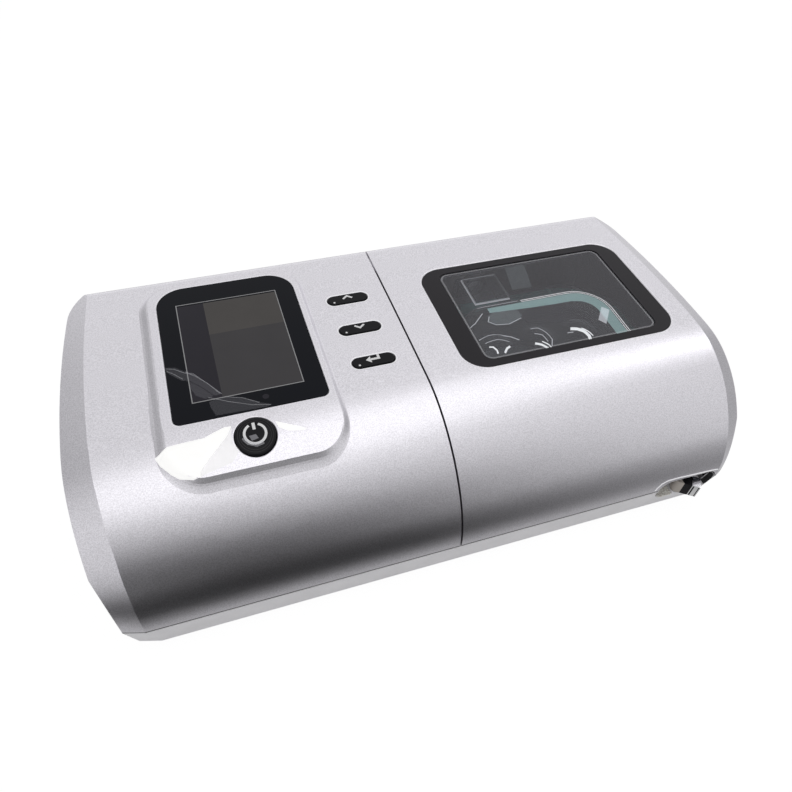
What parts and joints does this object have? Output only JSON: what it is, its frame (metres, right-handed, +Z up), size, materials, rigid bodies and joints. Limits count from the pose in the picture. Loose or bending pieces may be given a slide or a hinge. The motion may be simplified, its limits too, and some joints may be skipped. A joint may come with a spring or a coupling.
{
  "type": "breathing therapy machine with humidifier",
  "caption": "Low silver bedside breathing machine: raised display pad, push buttons, rear-hinged lid with a framed window over a water tank, rear hose spigot.",
  "frame": {"origin": "middle of the whole machine's plan, on the surface it stands on", "axes": "+X to the user's right along the length, +Y to the rear where the hose spigot is, +Z up"},
  "size_m": [0.3048, 0.1824, 0.0748],
  "materials": {
    "silver_paint": "satin",
    "tray_grey": "satin",
    "rubber": "matte",
    "steel": "satin",
    "black_gloss": "gloss",
    "clear": "gloss",
    "black_plastic": "gloss",
    "lcd": "gloss",
    "pcb": "satin",
    "dark_plastic": "matte",
    "silicone_teal": "satin",
    "silicone_grey": "matte",
    "foam": "matte",
    "bay_plastic": "matte",
    "aluminium": "satin",
    "chrome": "polished",
    "beige_plate": "satin",
    "outlet_white": "satin"
  },
  "bodies": {
    "chassis": {"base_tray": "tray_grey", "rubber_feet": "rubber", "tray_screws": "steel", "main_housing": "silver_paint", "display_window": "black_gloss", "lcd_frame": "steel", "lcd_panel": "lcd", "display_board": "pcb", "display_board_screws": "steel", "button_switches": "dark_plastic", "keypad_membrane": "silicone_grey", "main_board": "pcb", "main_board_screws": "steel", "board_components": "dark_plastic", "blower_base": "bay_plastic", "blower_cover": "bay_plastic", "blower_motor": "steel", "blower_mounts": "silicone_grey", "outlet_duct": "silicone_grey", "power_jack": "dark_plastic", "filter_foam": "foam", "humidifier_bay": "bay_plastic", "heater_plate": "aluminium", "heater_pads": "silicone_grey", "tank_base": "clear", "tank_heat_plate": "aluminium", "tank_gasket": "silicone_teal", "tank_cover": "clear", "inlet_seal": "silicone_teal", "outlet_seal": "silicone_teal", "hose_outlet": "outlet_white", "hinge_wall": "silver_paint", "latch_pin": "steel", "latch_plate": "beige_plate", "hinge_pins": "steel"},
    "lid": {"humidifier_lid": "silver_paint", "window_bezel": "black_plastic", "window_lens": "clear"},
    "latch": {"latch_lever": "black_plastic", "latch_trim": "chrome"},
    "power_button": {"power_button": "black_plastic"},
    "key_enter": {"key_enter": "black_plastic"},
    "key_down": {"key_down": "black_plastic"},
    "key_up": {"key_up": "black_plastic"},
    "impeller": {"blower_impeller": "outlet_white", "motor_shaft": "steel"},
    "filter_cover": {"filter_cover": "tray_grey"}
  },
  "joints": [
    {"name": "lid_hinge", "type": "hinge", "parent": "chassis", "child": "lid", "pos_m": [0.078, 0.06515, 0.065], "axis": [-1, 0, 0], "range_deg": [0, 85]},
    {"name": "latch_swing", "type": "hinge", "parent": "chassis", "child": "latch", "pos_m": [0.1215, -0.08325, 0.01665], "axis": [0, 0, 1], "range_deg": [-15, 35]},
    {"name": "impeller_spin", "type": "hinge", "parent": "chassis", "child": "impeller", "pos_m": [-0.047, -0.02385, 0.03], "axis": [0, 0, 1], "continuous": true},
    {"name": "filter_cover_slide", "type": "slide", "parent": "chassis", "child": "filter_cover", "axis": [0, 1, 0], "range_m": [0, 0.02]},
    {"name": "power_press", "type": "slide", "parent": "chassis", "child": "power_button", "axis": [0, 0, -1], "range_m": [0, 0.0008], "stiffness_N_per_m": 1200, "springref_m": -0.0006},
    {"name": "key_enter_press", "type": "slide", "parent": "chassis", "child": "key_enter", "axis": [0, 0, -1], "range_m": [0, 0.0008], "stiffness_N_per_m": 1200, "springref_m": -0.0006},
    {"name": "key_down_press", "type": "slide", "parent": "chassis", "child": "key_down", "axis": [0, 0, -1], "range_m": [0, 0.0008], "stiffness_N_per_m": 1200, "springref_m": -0.0006},
    {"name": "key_up_press", "type": "slide", "parent": "chassis", "child": "key_up", "axis": [0, 0, -1], "range_m": [0, 0.0008], "stiffness_N_per_m": 1200, "springref_m": -0.0006}
  ]
}
